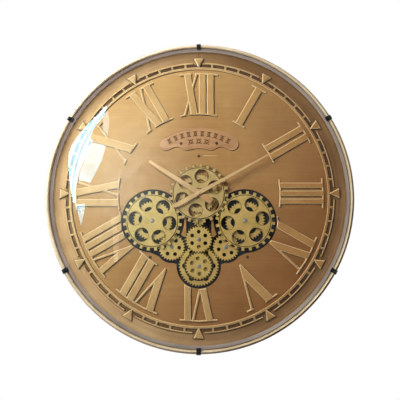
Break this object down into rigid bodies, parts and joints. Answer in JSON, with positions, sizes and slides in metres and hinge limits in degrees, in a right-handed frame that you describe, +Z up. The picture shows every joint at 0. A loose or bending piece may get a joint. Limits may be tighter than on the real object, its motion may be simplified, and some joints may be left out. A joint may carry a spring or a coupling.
{
  "type": "wall clock",
  "caption": "Round wall clock: domed glass over a sheet-metal case, raised Roman numerals, hour and minute hands, and a train of meshing gears open to view in the dial.",
  "frame": {"origin": "on the rear face of the rear housing, on the axis of the hands; this face and the back edge of the case lie against the wall", "axes": "+Z up along the numeral twelve, +X to the right as the dial is read, -Y out of the dial towards the reader, +Y into the wall"},
  "size_m": [0.6, 0.0844, 0.6038],
  "materials": {
    "case_gold": "antique gold paint, satin",
    "dial_gold": "antique gold paint, brushed and satin",
    "relief_gold": "pale antique gold paint, satin",
    "clear_glass": "clear, polished, ground edge",
    "gasket_rubber": "matt black",
    "plaque_copper": "pinkish copper paint, satin",
    "dark_screw": "dark bronze, satin",
    "black_plastic": "moulded black, matt",
    "gear_brass": "gilt brass, satin",
    "plain_steel": "bright steel, satin",
    "hand_tan": "rose-tan paint, satin",
    "cell_jacket": "dark printed jacket without print",
    "switch_plastic": "grey, matt",
    "blackened_steel": "black lacquer, semi-matt"
  },
  "bodies": {
    "case": {"case_band": "case_gold", "dial_pan": "dial_gold", "chapter_ring": "relief_gold", "glass_dome": "clear_glass", "glass_gasket": "gasket_rubber", "plaque": "plaque_copper", "plaque_screw_left": "dark_screw", "plaque_screw_right": "dark_screw", "dial_screw_top": "dark_screw", "dial_screw_left": "dark_screw", "dial_screw_right": "dark_screw", "gear_tray": "black_plastic", "hand_bush": "plain_steel", "bush_nut": "plain_steel", "quartz_movement": "black_plastic", "gear_motor": "plain_steel", "rear_housing": "black_plastic", "battery_cell_1": "cell_jacket", "battery_cell_2": "cell_jacket", "battery_cell_3": "cell_jacket", "switch_body": "black_plastic", "hanger_plate": "plain_steel", "glass_clip_1": "blackened_steel", "glass_clip_2": "blackened_steel", "glass_clip_3": "blackened_steel", "glass_clip_4": "blackened_steel", "glass_clip_5": "blackened_steel", "glass_clip_6": "blackened_steel", "numeral_I": "relief_gold", "numeral_II": "relief_gold", "numeral_III": "relief_gold", "numeral_IV": "relief_gold", "numeral_V": "relief_gold", "numeral_VI": "relief_gold", "numeral_VII": "relief_gold", "numeral_VIII": "relief_gold", "numeral_IX": "relief_gold", "numeral_X": "relief_gold", "numeral_XI": "relief_gold", "numeral_XII": "relief_gold"},
    "left_cog": {"left_cog_wheel": "gear_brass", "left_fine_gear": "gear_brass"},
    "right_cog": {"right_cog_wheel": "gear_brass", "right_fine_gear": "gear_brass"},
    "top_cog": {"top_cog_wheel": "gear_brass", "top_fine_gear": "gear_brass"},
    "left_side": {"left_side_gear": "gear_brass"},
    "right_side": {"right_side_gear": "gear_brass"},
    "lower": {"lower_fine_gear": "gear_brass", "lower_front_gear": "gear_brass"},
    "centre": {"centre_gear": "gear_brass", "centre_drive_wheel": "gear_brass"},
    "idler": {"idler_pinion": "gear_brass"},
    "motor": {"motor_pinion": "black_plastic"},
    "minute": {"minute_hand": "hand_tan", "minute_arbor": "hand_tan"},
    "hour": {"hour_hand": "hand_tan"},
    "door": {"battery_door": "black_plastic"},
    "knob": {"setting_knob": "black_plastic"},
    "switch": {"switch_slider": "switch_plastic"}
  },
  "joints": [
    {"name": "left_cog_turn", "type": "hinge", "parent": "case", "child": "left_cog", "pos_m": [-0.08968, -0.037, -0.05275], "axis": [0, 1, 0], "continuous": true},
    {"name": "right_cog_turn", "type": "hinge", "parent": "case", "child": "right_cog", "pos_m": [0.08968, -0.037, -0.05275], "axis": [0, 1, 0], "continuous": true},
    {"name": "top_cog_turn", "type": "hinge", "parent": "case", "child": "top_cog", "pos_m": [0, -0.037, 0], "axis": [0, 1, 0], "continuous": true},
    {"name": "left_side_turn", "type": "hinge", "parent": "case", "child": "left_side", "pos_m": [-0.05229, -0.037, -0.10346], "axis": [0, 1, 0], "continuous": true},
    {"name": "right_side_turn", "type": "hinge", "parent": "case", "child": "right_side", "pos_m": [0.05229, -0.037, -0.10346], "axis": [0, 1, 0], "continuous": true},
    {"name": "lower_turn", "type": "hinge", "parent": "case", "child": "lower", "pos_m": [0, -0.037, -0.1386], "axis": [0, 1, 0], "continuous": true},
    {"name": "centre_turn", "type": "hinge", "parent": "case", "child": "centre", "pos_m": [0, -0.032, -0.0882], "axis": [0, 1, 0], "continuous": true},
    {"name": "idler_turn", "type": "hinge", "parent": "case", "child": "idler", "pos_m": [0, -0.037, -0.0504], "axis": [0, 1, 0], "continuous": true},
    {"name": "motor_turn", "type": "hinge", "parent": "case", "child": "motor", "pos_m": [-0.03721, -0.032, -0.07466], "axis": [0, 1, 0], "continuous": true},
    {"name": "minute_turn", "type": "hinge", "parent": "case", "child": "minute", "pos_m": [0, -0.05, 0], "axis": [0, 1, 0], "continuous": true},
    {"name": "hour_turn", "type": "hinge", "parent": "case", "child": "hour", "pos_m": [0, -0.05, 0], "axis": [0, 1, 0], "continuous": true},
    {"name": "knob_turn", "type": "hinge", "parent": "case", "child": "knob", "pos_m": [0.014, -0.003, 0.012], "axis": [0, 1, 0], "continuous": true},
    {"name": "door_swing", "type": "hinge", "parent": "case", "child": "door", "pos_m": [0.018, -0.00105, -0.0406], "axis": [1, 0, 0], "range_deg": [0, 105]},
    {"name": "switch_slide", "type": "slide", "parent": "case", "child": "switch", "axis": [1, 0, 0], "range_m": [0, 0.005]}
  ],
  "couplings": [
    {"joint": "right_cog_turn", "follows": "left_cog_turn", "ratio": 1},
    {"joint": "lower_turn", "follows": "left_cog_turn", "ratio": 1},
    {"joint": "left_side_turn", "follows": "left_cog_turn", "ratio": -1.5},
    {"joint": "right_side_turn", "follows": "left_cog_turn", "ratio": -1.5},
    {"joint": "centre_turn", "follows": "left_cog_turn", "ratio": -1},
    {"joint": "idler_turn", "follows": "left_cog_turn", "ratio": 2},
    {"joint": "top_cog_turn", "follows": "left_cog_turn", "ratio": -0.66667},
    {"joint": "motor_turn", "follows": "left_cog_turn", "ratio": 2.6667},
    {"joint": "hour_turn", "follows": "minute_turn", "ratio": 0.083333},
    {"joint": "knob_turn", "follows": "minute_turn", "ratio": -0.33333}
  ]
}
